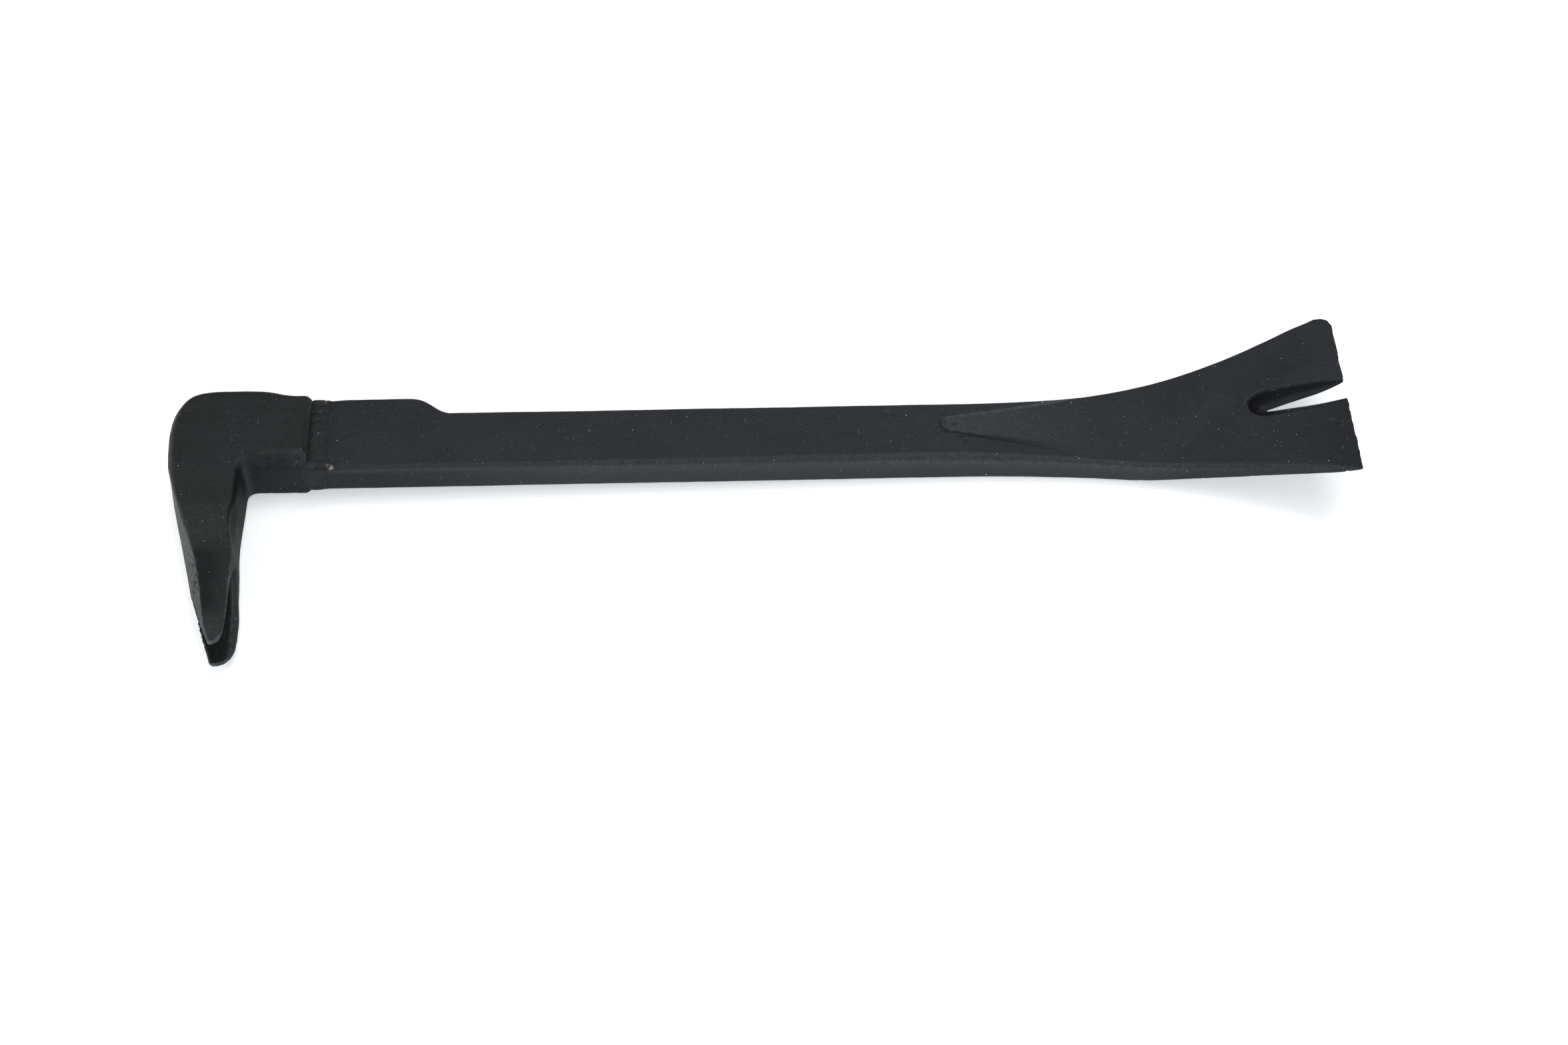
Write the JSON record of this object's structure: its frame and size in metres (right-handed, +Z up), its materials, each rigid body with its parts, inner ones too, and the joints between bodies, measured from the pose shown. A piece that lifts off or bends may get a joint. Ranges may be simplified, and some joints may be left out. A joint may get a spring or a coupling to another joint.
{
  "type": "pry bar",
  "caption": "Flat black steel pry bar with a flared, upturned, notched blade at one end and a forked claw head set square to the bar at the other.",
  "frame": {"origin": "centre of the overall box in plan, on the floor the bar lies on", "axes": "+X along the bar from the claw head to the blade, +Y across the bar away from the claw tip, +Z up as it lies on its side"},
  "size_m": [0.2994, 0.0864, 0.0214],
  "materials": {
    "bar_black": "satin black finish with fine grit, nicks and rubbed edges",
    "head_black": "satin black finish over forged steel, rubbed lighter on the claw",
    "weld_black": "dark painted weld with small bright spots"
  },
  "bodies": {
    "root": {"claw_head": "head_black", "shank_bar": "bar_black", "weld_bead": "weld_black"}
  },
  "joints": []
}
